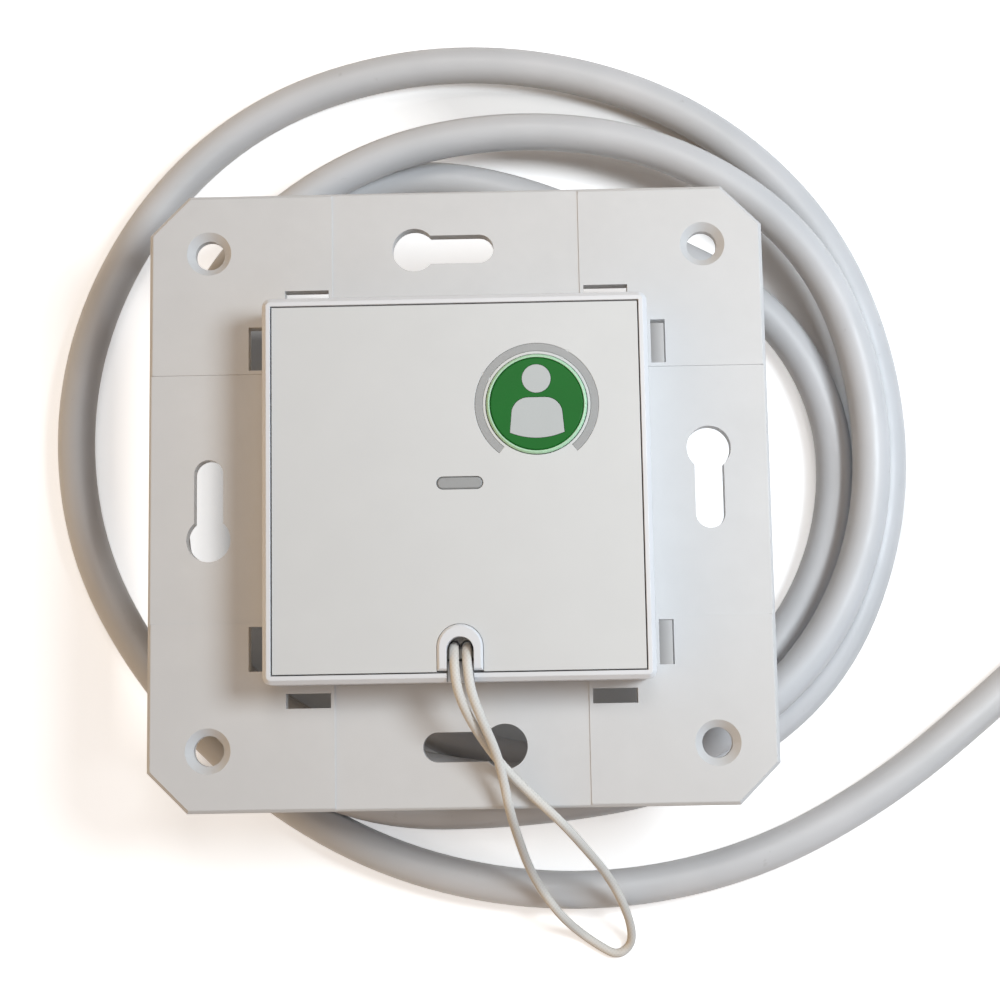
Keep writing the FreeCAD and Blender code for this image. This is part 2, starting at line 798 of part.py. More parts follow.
def indicator_lens():
    inside = z_panel_back - lens_flange_height / 2
    face = stadium(lens_x, lens_y, lens_length, lens_width, inside, z_panel)
    face = face.makeChamfer(lens_edge, edges_at(face, z_panel))
    flange = centred(lens_x, lens_y, lens_length + 2 * lens_flange, lens_width + 2 * lens_flange,
                     z_panel_back - lens_flange_height, z_panel_back)
    leg = centred(lens_x, lens_y, lens_leg_length, lens_leg_width, z_board + led_height + led_gap, inside)
    return face.multiFuse([flange, leg]).removeSplitter()


# Cord outlet

def cord_bush():
    z0, top = z_panel_back - bush_flange_height, z_front + bush_proud
    ring = arch(bush_half_width, bush_crown_y, bush_foot_y, z_panel_back, top)
    ring = ring.makeChamfer(bush_edge, edges_at(ring, top))
    flange_foot = -bay_side / 2 + fit_gap
    flange = arch(bush_half_width + bush_flange, bush_crown_y + bush_flange, flange_foot,
                  z0, z_panel_back)
    ramp_top, ramp_y = z_front - ramp_top_drop, -module_side / 2
    half = outlet_half_width - tongue_gap
    tongue = block(outlet_x - half, outlet_x + half, ramp_y, bush_foot_y + bush_crown,
                   z_notch + tongue_gap, ramp_top)
    body = ring.multiFuse([flange, tongue])
    passage = arch(outlet_half_width, hole_crown_y, ramp_y - cut_margin, z0 - cut_margin, top + cut_margin)
    ramp_side = outlet_half_width + cut_margin
    ramp_end = V(outlet_x - ramp_side, ramp_y, ramp_top - ramp_r)
    ramp = Part.makeCylinder(ramp_r, 2 * ramp_side, ramp_end, V(1, 0, 0))
    return body.cut(passage.cut(ramp)).removeSplitter()


def pull_slide():
    x0, x1 = outlet_x - slide_half_width, outlet_x + slide_half_width
    body = block(x0, x1, slide_front, slide_back, z_slide, z_slide_top)
    body = body.makeChamfer(small_edge, upright_edges(body))
    rise = z_slide - z_plunger_top - plunger_gap - plunger_ratio * plunger_tip_r
    start = pull_switch_y - rise / plunger_ratio
    drop = plunger_ratio * (slide_back - start)
    side = [V(0, start, z_slide), V(0, slide_back, z_slide - drop), V(0, slide_back, z_slide)]
    wedge = Part.Face(Part.makePolygon(side + side[:1])).extrude(V(2 * wedge_half_width, 0, 0))
    wedge.translate(V(outlet_x - wedge_half_width, 0, 0))
    hole_r = pull_cord_d / 2 + cord_hole_gap
    high = z_slide_top + cut_margin
    holes = [rod(hole_r, x, cord_hole_y, z_slide - cut_margin, high) for x in cord_hole_x]
    y0, low = slide_back - 2 * spring_bend_r, z_spring - fit_gap
    x1 = outlet_x + spring_half_width
    catch = block(outlet_x - spring_half_width, x1, y0, slide_back - spring_bend_r, low, high)
    mouth = block(outlet_x + spring_mouth, x1, y0, slide_back + cut_margin, low, high)
    return body.fuse(wedge).cut(holes + [catch, mouth]).removeSplitter()


def cord_ferrule():
    low, high = z_slide - ferrule_height, z_slide + cut_margin
    ferrule = centred(outlet_x, cord_hole_y, ferrule_length, ferrule_width, low, z_slide)
    ferrule = ferrule.makeChamfer(small_edge, upright_edges(ferrule))
    low = pull_route[0][2]
    return ferrule.cut([rod(pull_cord_d / 2, x, cord_hole_y, low, high) for x in cord_hole_x])


def spring_bend(x, y, side):
    """Half a ring of strip at the end of a lane, on the given side."""
    r, t = spring_bend_r, spring_strip
    z0, z1 = z_spring, z_spring + spring_height
    middle = y + t / 2 + r
    hole = rod(r - t / 2, x, middle, z0 - cut_margin, z1 + cut_margin)
    ring = rod(r + t / 2, x, middle, z0, z1).cut(hole)
    x0, x1 = sorted((x, x + side * 2 * r))
    return ring.common(block(x0, x1, middle - 2 * r, middle + 2 * r, z0, z1))


def pull_spring():
    """A flat strip bent to and fro between the slide's catch and the panel's anchor."""
    reach = spring_half_width - fit_gap - spring_strip / 2 - spring_bend_r
    strip = []
    y, top = spring_start_y, z_spring + spring_height
    for lane in range(spring_bends + 1):
        strip.append(block(outlet_x - reach, outlet_x + reach, y, y + spring_strip, z_spring, top))
        if lane < spring_bends:
            side = 1 if lane % 2 == 0 else -1
            strip.append(spring_bend(outlet_x + side * reach, y, side))
        y += 2 * spring_bend_r
    return strip[0].multiFuse(strip[1:]).removeSplitter()


def pull_switch():
    top = z_board + pull_switch_height
    body = centred(outlet_x, pull_switch_y, pull_switch_length, pull_switch_width, z_board, top)
    depth = plunger_length - plunger_proud + pull_travel * plunger_ratio + fit_gap
    return body.cut(rod(plunger_r + pilot_gap, outlet_x, pull_switch_y, top - depth, top + cut_margin))


def switch_plunger():
    top, low = z_plunger_top, z_plunger_top - plunger_length
    shoulder = top - plunger_r + plunger_tip_r
    profile = [(0, low), (plunger_r, low), (plunger_r, shoulder), (plunger_tip_r, top), (0, top)]
    plunger = turned(profile)
    plunger.translate(V(outlet_x, pull_switch_y, 0))
    return plunger


# Circuit board and what is soldered to it

def circuit_board():
    board = cut_square(board_side, board_corner_cut, z_board_back, z_board)
    hole_r, low, high = board_screw_r + screw_play, z_board_back - cut_margin, z_board + cut_margin
    return board.cut([rod(hole_r, x, y, low, high) for x, y in board_screw_places()])


def headed_screw(x, y, z_head, head_r, head_height, shank_r, length):
    """A screw driven upward whose head bears at z_head."""
    head = rod(head_r, x, y, z_head - head_height, z_head)
    return head.fuse(rod(shank_r, x, y, z_head, z_head + length)).removeSplitter()


def board_screws():
    screws = []
    for x, y in board_screw_places():
        screws.append(headed_screw(x, y, z_board_back, board_screw_head_r, board_screw_head_height,
                                   board_screw_r, board_screw_length - fit_gap))
    return Part.makeCompound(screws)


def control_chip():
    chip = centred(chip_x, chip_y, chip_side, chip_side, z_board_back - chip_height, z_board_back)
    return chip.makeChamfer(small_edge, upright_edges(chip))


def capacitors():
    low = z_board_back - capacitor_height
    return Part.makeCompound([rod(capacitor_r, x, capacitor_y, low, z_board_back) for x in capacitor_x])


def small_components():
    places = [(x, y) for x in small_part_x for y in small_part_y]
    low = z_board_back - small_part_height
    chips = [centred(x, y, small_part_length, small_part_width, low, z_board_back) for x, y in places]
    return Part.makeCompound(chips)


def wire_header():
    low, pocket = z_board_back - header_height, wire_plug_side + 2 * header_gap
    body = centred(header_x, header_y, header_side, header_side, low, z_board_back)
    return body.cut(centred(header_x, header_y, pocket, pocket, low - cut_margin, low + header_pocket))


def wire_plug():
    body = centred(header_x, header_y, wire_plug_side, wire_plug_side, z_plug, z_plug + wire_plug_length)
    return body.makeChamfer(small_edge, upright_edges(body))


def cable_cores():
    """Four cores that leave the end of the lead and turn up into the wire plug."""
    start_y = lead_route[0][1]
    cores = []
    for sx, sy in four_corners(1):
        x, z = gland_x + sx * core_spread, gland_z - sy * core_spread
        end_x, end_y = header_x + sx * core_pitch / 2, header_y + sy * core_pitch / 2
        bend_y = start_y + core_start_length
        route = [(x, start_y, z), (x, bend_y, z), (end_x, end_y, z), (end_x, end_y, z_plug)]
        cores.append(cord_tube("core", route, 2 * core_r, thin_cord_flats))
    return Part.makeCompound(cores)


# Rear cover, lead inlet and clamp

def inlet_outline(grow):
    far, end = module_side, recess_end + grow
    side, mouth = recess_side + grow, recess_mouth + grow
    return [(-far, -far), (-far, end), (side, end), (side, recess_turn + grow / 2),
            (mouth, -neck_side / 2 + grow / 2), (mouth, -far)]


def rear_cover():
    body = cut_square(neck_side, corner_cut, 0, cover_height)
    body = body.makeChamfer(cover_edge, edges_at(body, 0))
    cavity = cut_square(neck_side - 2 * cover_wall, inset_cut(corner_cut, cover_wall),
                        cover_floor, cover_height + cut_margin)
    kept = extruded(inlet_outline(cover_wall), -cut_margin, cover_height)
    lip_side = neck_inner - 2 * fit_gap
    inner_cut = inset_cut(corner_cut, neck_wall)
    lip = cut_square(lip_side, inner_cut, z_lip, cover_height + lip_height)
    lip_inside = cut_square(lip_side - 2 * lip_wall, inset_cut(inner_cut, lip_wall), 0, z_bezel)
    lip = lip.cut(lip_inside)
    body = body.cut(cavity.cut(kept))
    column_r = cover_screw_head_r + screw_play + column_wall
    columns = [rod(column_r, 0, s * cover_screw_y, cover_floor / 2, cover_height) for s in (-1, 1)]
    clamp_boss = rod(clamp_boss_r, clamp_screw_x, clamp_screw_y, cover_floor / 2, clamp_bottom - fit_gap)
    body = body.multiFuse([lip, clamp_boss] + columns)
    cuts = [extruded(inlet_outline(0), -cut_margin, recess_top)]
    cuts.append(rod_along_y(gland_r + pilot_gap, gland_x, gland_z,
                            recess_end - cut_margin, recess_end + cover_wall + cut_margin))
    for s in (-1, 1):
        y = s * cover_screw_y
        cuts.append(rod(cover_screw_head_r + screw_play, 0, y, -cut_margin, cover_screw_sink))
        cuts.append(rod(cover_screw_r + screw_play, 0, y, 0, cover_height + cut_margin))
        cuts.append(rod(boss_r + fit_gap, 0, y, cover_height, cover_height + lip_height + cut_margin))
    pilot_low = clamp_bottom + clamp_thickness - clamp_screw_length - fit_gap
    cuts.append(rod(clamp_screw_r + pilot_gap, clamp_screw_x, clamp_screw_y, pilot_low, clamp_bottom))
    return body.cut(cuts).removeSplitter()


def rear_cover_screws():
    screws = []
    for s in (-1, 1):
        screws.append(headed_screw(0, s * cover_screw_y, cover_screw_sink, cover_screw_head_r,
                                   cover_screw_head_height, cover_screw_r, cover_screw_length))
    return Part.makeCompound(screws)


def cable_gland():
    """A rubber sleeve through the recess wall: a plain body, a flange outside and a tapering tail."""
    inner, tail = recess_end + cover_wall, recess_end - gland_tail
    flange = recess_end - gland_flange
    outline = [(cable_r, inner), (gland_r, inner), (gland_r, recess_end), (gland_flange_r, recess_end),
               (gland_flange_r, flange), (cable_r + gland_tail_wall, tail), (cable_r, tail)]
    corners = [V(gland_x + r, y, gland_z) for r, y in outline]
    face = Part.Face(Part.makePolygon(corners + corners[:1]))
    return face.revolve(V(gland_x, 0, gland_z), V(0, 1, 0), 360)


def cable_clamp():
    x0 = -(neck_side / 2 - cover_wall) + clamp_left_gap
    x1 = clamp_screw_x + clamp_end_reach
    y0, y1 = clamp_start, clamp_start + clamp_length
    z0, z1 = clamp_bottom, clamp_bottom + clamp_thickness
    bar = block(x0, x1, y0, y1, z0, z1)
    groove = rod_along_y(cable_r, gland_x, gland_z, y0 - cut_margin, y1 + cut_margin)
    hole_r = clamp_screw_r + screw_play / 2
    hole = rod(hole_r, clamp_screw_x, clamp_screw_y, z0 - cut_margin, z1 + cut_margin)
    return bar.cut([groove, hole])


def clamp_screw():
    z = clamp_bottom + clamp_thickness
    head = rod(clamp_screw_head_r, clamp_screw_x, clamp_screw_y, z, z + clamp_screw_head_height)
    shank = rod(clamp_screw_r, clamp_screw_x, clamp_screw_y, z - clamp_screw_length, z)
    return head.fuse(shank).removeSplitter()


# The lead, its put-away coil and its plug

def call_cable():
    return cord_tube("call_cable", lead_route, cable_d, lead_flats)


def call_cable_end():
    return cord_tube("call_cable_end", lead_end_route, cable_d, lead_flats)


def flat_sided(levels):
    """A many-sided drum about Z through the given (radius, height) levels."""
    rings = []
    for radius, z in levels:
        turns = [2 * math.pi * k / coil_flats for k in range(coil_flats)]
        corners = [V(radius * math.cos(a), radius * math.sin(a), z) for a in turns]
        rings.append(Part.makePolygon(corners + corners[:1]))
    return Part.makeLoft(rings, True, True)


def call_cable_coil():
    """Two turns side by side with a third on top, as one ring."""
    middle, top = (coil_inner_r + coil_outer_r) / 2, coil_top_z + cable_r
    outer, inner = coil_outer_r + cable_r, coil_inner_r - cable_r
    outside = flat_sided([(outer, 0), (outer, cable_r), (middle + cable_r, top)])
    inside = flat_sided([(inner, 0), (inner, cable_r), (middle - cable_r, top)])
    coil = outside.cut(inside)
    coil.translate(V(coil_x, coil_y, 0))
    return coil


def placed(shape):
    shape.rotate(V(0, 0, 0), V(0, 0, 1), plug_heading)
    shape.translate(V(plug_x, plug_y, 0))
    return shape


def plug_boot():
    rear = Part.makeCone(boot_rear_r, boot_front_r, boot_length, V(0, 0, plug_z), V(1, 0, 0))
    bore = Part.makeCylinder(cable_r, boot_length, V(0, 0, plug_z), V(1, 0, 0))
    return placed(rear.cut(bore))


def plug_body():
    half = plug_width / 2
    x0, x1 = boot_length, boot_length + plug_length
    body = block(x0, x1, -half, half, 0, plug_height)
    body = body.makeChamfer(plug_edge, upright_edges(body))
    tip, under = x1 - latch_set_back, plug_height - latch_thickness
    side = [V(tip, 0, under), V(tip, 0, plug_height), V(tip - latch_length, 0, plug_height + latch_rise),
            V(tip - latch_length, 0, under + latch_rise), V(tip - latch_root, 0, under)]
    latch = Part.Face(Part.makePolygon(side + side[:1])).extrude(V(0, latch_width, 0))
    latch.translate(V(0, -latch_width / 2, 0))
    slots = contact_blocks(header_gap, x1 + cut_margin, -cut_margin)
    return placed(body.fuse(latch).cut(slots))


def contact_blocks(grow, tip, low):
    """One block per contact, side by side across the plug."""
    blocks = []
    start = boot_length + plug_length - contact_set_back - contact_length
    half = contact_width / 2 + grow
    for i in range(contact_count):
        y = (i - (contact_count - 1) / 2) * contact_pitch
        blocks.append(block(start, tip, y - half, y + half, low, contact_height))
    return blocks


def plug_contacts():
    tip = boot_length + plug_length - contact_set_back
    return placed(Part.makeCompound(contact_blocks(0, tip, contact_lift)))


def pull_cord():
    return cord_tube("pull_cord", pull_route, pull_cord_d, thin_cord_flats)


SUB_PARTS = [
    mounting_plate, front_housing, front_panel, call_button, button_disc, button_symbol, switch_stem,
    button_switch, return_dome, ring_light_guide, ring_leds, indicator_lens, indicator_led, cord_bush,
    pull_slide, cord_ferrule, pull_spring, pull_switch, switch_plunger, circuit_board, board_screws,
    control_chip, capacitors, small_components, wire_header, wire_plug, cable_cores, rear_cover,
    rear_cover_screws, cable_gland, cable_clamp, clamp_screw, call_cable, call_cable_coil,
    call_cable_end, plug_boot, plug_body, plug_contacts, pull_cord,
]

os.makedirs("parts", exist_ok=True)
for sub_part in SUB_PARTS:
    solid = sub_part()
    if not solid.isValid():
        print("not valid:", sub_part.__name__)
    solid.exportStep(f"parts/{sub_part.__name__}.step")
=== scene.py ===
import json
import math

import bmesh
import bpy
from mathutils import Matrix, Vector


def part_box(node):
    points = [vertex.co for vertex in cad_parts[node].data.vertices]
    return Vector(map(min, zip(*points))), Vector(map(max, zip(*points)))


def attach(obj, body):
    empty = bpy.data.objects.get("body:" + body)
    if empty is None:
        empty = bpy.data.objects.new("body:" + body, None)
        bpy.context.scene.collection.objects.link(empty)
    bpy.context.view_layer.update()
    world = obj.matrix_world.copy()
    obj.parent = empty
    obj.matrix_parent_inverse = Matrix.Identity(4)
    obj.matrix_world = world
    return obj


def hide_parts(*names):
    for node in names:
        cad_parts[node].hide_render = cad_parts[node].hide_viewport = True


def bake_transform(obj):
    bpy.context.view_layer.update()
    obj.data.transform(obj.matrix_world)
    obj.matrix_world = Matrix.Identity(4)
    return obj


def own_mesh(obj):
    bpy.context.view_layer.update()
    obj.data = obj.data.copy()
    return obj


# Nurse call module seen from the front, slightly from below, lying on a pale floor with its lead round it.
# Metres, in the frame of the model: +Z out of the panel, +Y towards its upper edge.

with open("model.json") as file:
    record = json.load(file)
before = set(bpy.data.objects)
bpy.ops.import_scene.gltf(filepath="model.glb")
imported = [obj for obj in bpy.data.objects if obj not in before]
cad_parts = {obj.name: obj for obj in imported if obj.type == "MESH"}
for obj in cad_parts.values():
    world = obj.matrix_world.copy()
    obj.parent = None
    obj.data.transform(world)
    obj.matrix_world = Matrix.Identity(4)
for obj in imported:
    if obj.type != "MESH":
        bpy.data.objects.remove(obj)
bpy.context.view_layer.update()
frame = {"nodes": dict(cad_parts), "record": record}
nodes = frame["nodes"]

MM = 0.001

# Camera
IMAGE_SIDE_PX = 1000
FOCAL_PX = 1711.4
SENSOR_WIDTH = 36.0
CAMERA_AT = Vector((7.22, -25.51, 224.87)) * MM
CAMERA_RIGHT = Vector((0.99975, -0.01770, -0.01357))
CAMERA_DOWN = Vector((-0.01921, -0.99255, -0.12035))
CLIP_START = 1.0 * MM

# Lights: name, place, size, power and colour. Each points at the middle of the module's back.
LIGHTS = [
    ("window", (0.155, 0.035, 0.235), 0.10, 0.52, (0.86, 0.94, 1.0)),
    ("ceiling", (0.02, 0.30, 0.70), 0.24, 0.78, (1.0, 0.97, 0.93)),
]
LIGHT_TARGET = Vector((0.0, 0.0, 0.0))

# Light from all round, from left to right: share of the way and colour. Then its strength in front and behind.
WORLD_LIGHT = [
    (0.0, (1.08, 0.69, 0.28)), (0.25, (0.48, 0.32, 0.17)), (0.60, (0.18, 0.20, 0.25)), (0.88, (0.25, 0.30, 0.36)),
    (1.0, (0.95, 1.10, 1.30)),
]
WORLD_FRONT_BACK = (1.35, 0.65)
BACKDROP = (0.97, 0.97, 0.97)

# Floor: its size, its colours, and its lift under and beside the module; the low lift under it keeps the painted
# shade there dark
FLOOR_HALF = 1.5
FLOOR_SQUARES = 8
PAPER = ((0.90, 0.90, 0.90), (0.92, 0.92, 0.92))
FLOOR_BOUNCE = (0.30, 0.24, 0.18)
FLOOR_LIFT = (0.045, 0.50)

# Square of floor under the module painted dark, as painted shade: its middle, and where it starts to end and ends,
# from there
FLOOR_SHADE = (0.42, 0.42, 0.42)
FLOOR_SHADE_MIDDLE = (-3.0 * MM, -3.0 * MM)
FLOOR_SHADE_EDGE = (27.0 * MM, 33.0 * MM)

# Ring of floor below the raised turn, left without lift so it renders darker, as painted shade: its middle and
# radius, half its width, and where it starts on the upper right
TURNS_MIDDLE = (5.0 * MM, 5.0 * MM)
TURNS_SHADE_R = 48.0 * MM
TURNS_SHADE_EDGE = (4.5 * MM, 7.5 * MM)
TURNS_SHADE_SIDE = (25.0 * MM, 45.0 * MM)

# Painted light on the strip of floor beside the left edge of the plate, over the plate's shadow: extra lift, its
# middle, half its width and half its length
SIDE_LIFT = 0.35
SIDE_LIFT_AT = (-38.0 * MM, 2.0 * MM)
SIDE_LIFT_EDGE = (4.0 * MM, 9.0 * MM)
SIDE_LIFT_END = (22.0 * MM, 34.0 * MM)

# Lead and pull cord: diameters, steps between two control points and round the cord, and routes in mm
LEAD_D = 4.8 * MM
PULL_CORD_D = 1.1 * MM
CORD_STEPS = 10
CORD_ROUND_STEPS = 6
LEAD_ROUTE = [
    (-17.6, 7.0, 4.1), (-17.55, 1.0, 4.1), (-17.6, -9.4, 3.8), (-13.8, -19.2, 3.1), (-6.8, -27.0, 2.5),
    (2.6, -31.8, 2.4), (13.0, -32.9, 2.4), (23.5, -30.9, 2.4), (36.0, -23.5, 2.4), (47.0, -8.5, 2.4),
    (49.5, 10.5, 2.4), (41.0, 27.0, 2.4), (22.5, 37.0, 2.4), (1.5, 45.2, 2.4), (-14.5, 44.5, 2.4),
    (-29.5, 33.0, 2.4), (-38.2, 16.0, 2.4), (-39.6, -3.0, 2.4), (-32.6, -19.5, 2.4), (-18.5, -29.5, 2.4),
    (0.5, -35.0, 7.6), (20.0, -34.5, 7.4), (40.0, -25.5, 7.4), (51.5, -7.5, 7.4), (53.0, 14.0, 7.4),
    (46.0, 34.0, 7.4), (28.5, 47.0, 7.4), (7.5, 50.5, 7.4), (-13.0, 46.5, 7.4), (-30.5, 33.5, 7.4),
    (-38.0, 14.0, 7.4), (-37.6, -7.0, 7.6), (-32.5, -27.0, 7.4), (-14.0, -38.5, 2.4), (8.5, -38.5, 2.4),
    (29.5, -35.0, 2.4), (47.0, -23.0, 2.4), (55.5, -3.0, 2.4), (55.5, 18.0, 2.4), (48.0, 38.0, 2.4),
    (32.5, 53.0, 2.4), (12.5, 60.5, 2.4), (-8.5, 61.0, 2.4), (-28.5, 54.0, 2.4), (-43.5, 39.0, 2.4),
    (-51.5, 19.0, 2.4), (-50.5, -2.5, 2.4), (-41.0, -20.7, 2.4), (-26.1, -35.9, 2.4), (-8.0, -45.8, 2.4),
    (13.0, -49.5, 2.4), (34.0, -46.5, 2.4), (52.5, -37.5, 2.4), (69.5, -24.0, 2.4), (85.5, -9.6, 2.4),
]
LEAD_END_ROUTE = [
    (78.3, -31.1, 7.0), (78.4, -20.0, 7.4), (80.0, -8.5, 7.4), (83.6, 2.6, 4.6), (88.8, 12.6, 3.3),
    (95.5, 21.5, 3.3), (102.2, 30.2, 3.2),
]
PULL_ROUTE = [
    (-0.6, -18.4, 21.9), (-0.65, -18.4, 24.8), (-0.6, -18.4, 27.7), (-0.55, -20.6, 29.9),
    (-0.2, -23.6, 29.9), (1.0, -26.6, 28.4), (2.7, -29.5, 25.6), (4.8, -32.4, 23.3), (7.9, -35.6, 22.9),
    (11.4, -38.8, 22.7), (14.7, -42.8, 17.0), (17.3, -46.3, 9.6), (19.2, -49.9, 6.5),
    (20.4, -53.3, 2.6), (20.5, -55.8, 0.6), (18.7, -57.2, 0.6), (16.3, -55.9, 0.6), (13.8, -54.1, 0.9),
    (11.3, -51.4, 5.6), (9.0, -48.1, 6.7), (7.4, -44.8, 10.4), (6.3, -41.0, 16.8), (5.4, -37.4, 23.6),
    (4.8, -33.9, 24.5), (4.0, -30.5, 26.4), (2.5, -26.9, 28.7), (1.3, -23.6, 29.9), (0.9, -20.6, 29.9),
    (0.85, -18.4, 27.7), (0.9, -18.4, 24.8), (0.85, -18.4, 21.9),
]

# Put-away turns, clockwise, in mm and degrees: middle, first angle, angle swept, how far the control points are
# pushed out, and radius and height by the angle swept
COIL_CENTRE = (104.8, -31.1)
COIL_START = 132.0
COIL_SWEEP = 1032.0
COIL_STEPS = 36
COIL_EASE = 0.985
COIL_SHAPE = [
    (0, 28.9, 2.4), (290, 28.9, 2.4), (370, 24.1, 2.4), (590, 24.1, 2.4), (650, 26.5, 7.3), (720, 26.5, 7.3),
    (760, 26.5, 6.8), (1032, 26.5, 7.0),
]

# Filling of the openings for the legs of the light arc, whose angles are taken round the button
LEG_ANGLES = (60.0, 150.0)
LEG_MIDDLE_R = 6.725 * MM
LEG_SEAL_SIDE = 0.97 * MM
LEG_SEAL_DEPTH = 0.5 * MM
LEG_SEAL_BELOW = 0.01 * MM

# Tie of the put-away turns, in mm and degrees: where it is, and the strands it goes round. Each strand has the middle
# of a turn, by radius and height, and the first and last angle of the strap round it.
TIE_ANGLE = -60.0
TIE_WIDTH = 7.0
TIE_THICKNESS = 0.6
TIE_INNER_R = 2.5
TIE_LOWEST = 0.02
TIE_STEPS = 10
TIE_STRANDS = [((28.9, 2.4), -90.0, 27.0), ((26.5, 6.9), 27.0, 153.0), ((24.1, 2.4), 153.0, 270.0)]
TIE_END_STRANDS = [((28.9, 2.4), -20.0, 27.0), ((26.5, 6.9), 27.0, 100.0)]

# Boot at the plug, in mm. Its ribs widen towards the plug. A rib's form goes by share of the pitch and by the step
# from the rib's radius, and after it comes the neck.
BOOT_AT = (95.5, 21.5, 3.3)
BOOT_HEADING = 53.0
BOOT_LENGTH = 12.0
BOOT_TAIL = 7.0
BOOT_TAIL_R = 2.5
BOOT_NECK_R = 2.75
BOOT_BORE_R = 2.3
BOOT_RIB_R = (3.05, 3.3)
BOOT_RIBS = 6
BOOT_PITCH = 1.95
BOOT_RIB_FORM = [(0.08, -0.1), (0.2, 0.0), (0.55, 0.0), (0.67, -0.1)]
BOOT_NECK_FORM = [0.8, 0.98]
BOOT_SIDES = 36

# Scales of the patterns in moulded plastic and braid, samples of a softened edge, and the blend between two cores
BLOTCH_SCALE = 160.0
FLOW_STRETCH = (60.0, 240.0, 400.0)
GRAIN_SCALE = 5200.0
SHEEN_SCALE = 900.0
BRAID_SCALE = 900.0
BRAID_LEAN = math.radians(40.0)
EDGE_SAMPLES = 6
CORE_BLEND = 0.2 * MM

# Edge radius at the border of the plate, and from where to where it grows to that
PLATE_RIM = (0.25 * MM, 36.4 * MM, 36.8 * MM)


def heading(angle):
    return Vector((math.cos(math.radians(angle)), math.sin(math.radians(angle))))


def placed(name, data):
    """An object in the scene."""
    thing = bpy.data.objects.new(name, data)
    bpy.context.scene.collection.objects.link(thing)
    return thing


# Materials

class Graph:
    """The node tree of a material or the world, with short calls for the nodes used here."""

    def __init__(self, name, blocks=bpy.data.materials, shader="Principled BSDF", place="Object"):
        self.block = blocks.new(name)
        self.block.use_nodes = True
        self.tree = self.block.node_tree
        self.shader = self.tree.nodes[shader]
        self.place = self.add("ShaderNodeTexCoord").outputs[place]

    def add(self, kind, **sockets):
        node = self.tree.nodes.new(kind)
        for name, value in sockets.items():
            self.put(value, node.inputs[name.replace("_", " ")])
        return node

    def put(self, value, socket):
        if isinstance(value, bpy.types.NodeSocket):
            self.tree.links.new(value, socket)
        else:
            socket.default_value = value

    def maths(self, operation, first, second=0.0):
        node = self.add("ShaderNodeMath")
        node.operation = operation
        self.put(first, node.inputs[0])
        self.put(second, node.inputs[1])
        return node.outputs["Value"]

    def parts(self):
        """The place's X, Y and Z."""
        return self.add("ShaderNodeSeparateXYZ", Vector=self.place).outputs

    def apart(self, value, middle):
        return self.maths("ABSOLUTE", self.maths("SUBTRACT", value, middle))

    def seen(self):
        """1 where the camera looks, straight on, by a gloss or through clear plastic, and 0 for light."""
        rays = self.add("ShaderNodeLightPath").outputs
        mirrored = self.maths("MAXIMUM", rays["Is Glossy Ray"], rays["Is Transmission Ray"])
        return self.maths("MAXIMUM", rays["Is Camera Ray"], mirrored)

    def noise(self, scale, detail=3.0, roughness=0.5, place=None):
        settings = {"Scale": scale, "Detail": detail, "Roughness": roughness}
        return self.add("ShaderNodeTexNoise", Vector=place or self.place, **settings).outputs["Fac"]

    def stretched(self, x, y, z):
        return self.add("ShaderNodeMapping", Vector=self.place, Scale=(x, y, z)).outputs["Vector"]

    def ramp(self, value, *stops):
        node = self.add("ShaderNodeValToRGB", Fac=value)
        elements = node.color_ramp.elements
        while len(elements) < len(stops):
            elements.new(0.5)
        for element, (position, color) in zip(elements, stops):
            element.position = position
            element.color = (*color, 1.0)
        return node.outputs["Color"]

    def between(self, value, low, high, start=0.3, end=0.7):
        """From low to high while the value goes from start to end."""
        limits = {"From_Min": start, "From_Max": end, "To_Min": low, "To_Max": high}
        return self.add("ShaderNodeMapRange", Value=value, **limits).outputs["Result"]

    def mixed(self, factor, first, second, blend="MIX"):
        node = self.add("ShaderNodeMix")
        node.data_type = "RGBA"
        node.blend_type = blend
        for value, name in ((factor, "Factor_Float"), (first, "A_Color"), (second, "B_Color")):
            socket = next(s for s in node.inputs if s.identifier == name)
            self.put((*value, 1.0) if isinstance(value, tuple) else value, socket)
        return next(s for s in node.outputs if s.identifier == "Result_Color")

    def bump(self, height, distance, strength=1.0, normal=None):
        node = self.add("ShaderNodeBump", Height=height, Distance=distance, Strength=strength)
        if normal is not None:
            self.tree.links.new(normal, node.inputs["Normal"])
        return node.outputs["Normal"]

    def outer(self, inside, border, start, end):
        """One value inside and another towards the border of a square round the middle."""
        parts = self.parts()
        out = self.maths("MAXIMUM", *(self.maths("ABSOLUTE", parts[axis]) for axis in "XY"))
        return self.between(out, inside, border, start, end)

    def rounded(self, radius):
        node = self.add("ShaderNodeBevel", Radius=radius)
        node.samples = EDGE_SAMPLES
        return node.outputs["Normal"]

    def finish(self, **sockets):
        for name, value in sockets.items():
            name = name.replace("_", " ")
            if name.endswith("Color") and isinstance(value, tuple):
                value = (*value, 1.0)
            self.put(value, self.shader.inputs[name])
        return self.block


def shaded(color, factor):
    return tuple(min(1.0, c * factor) for c in color)


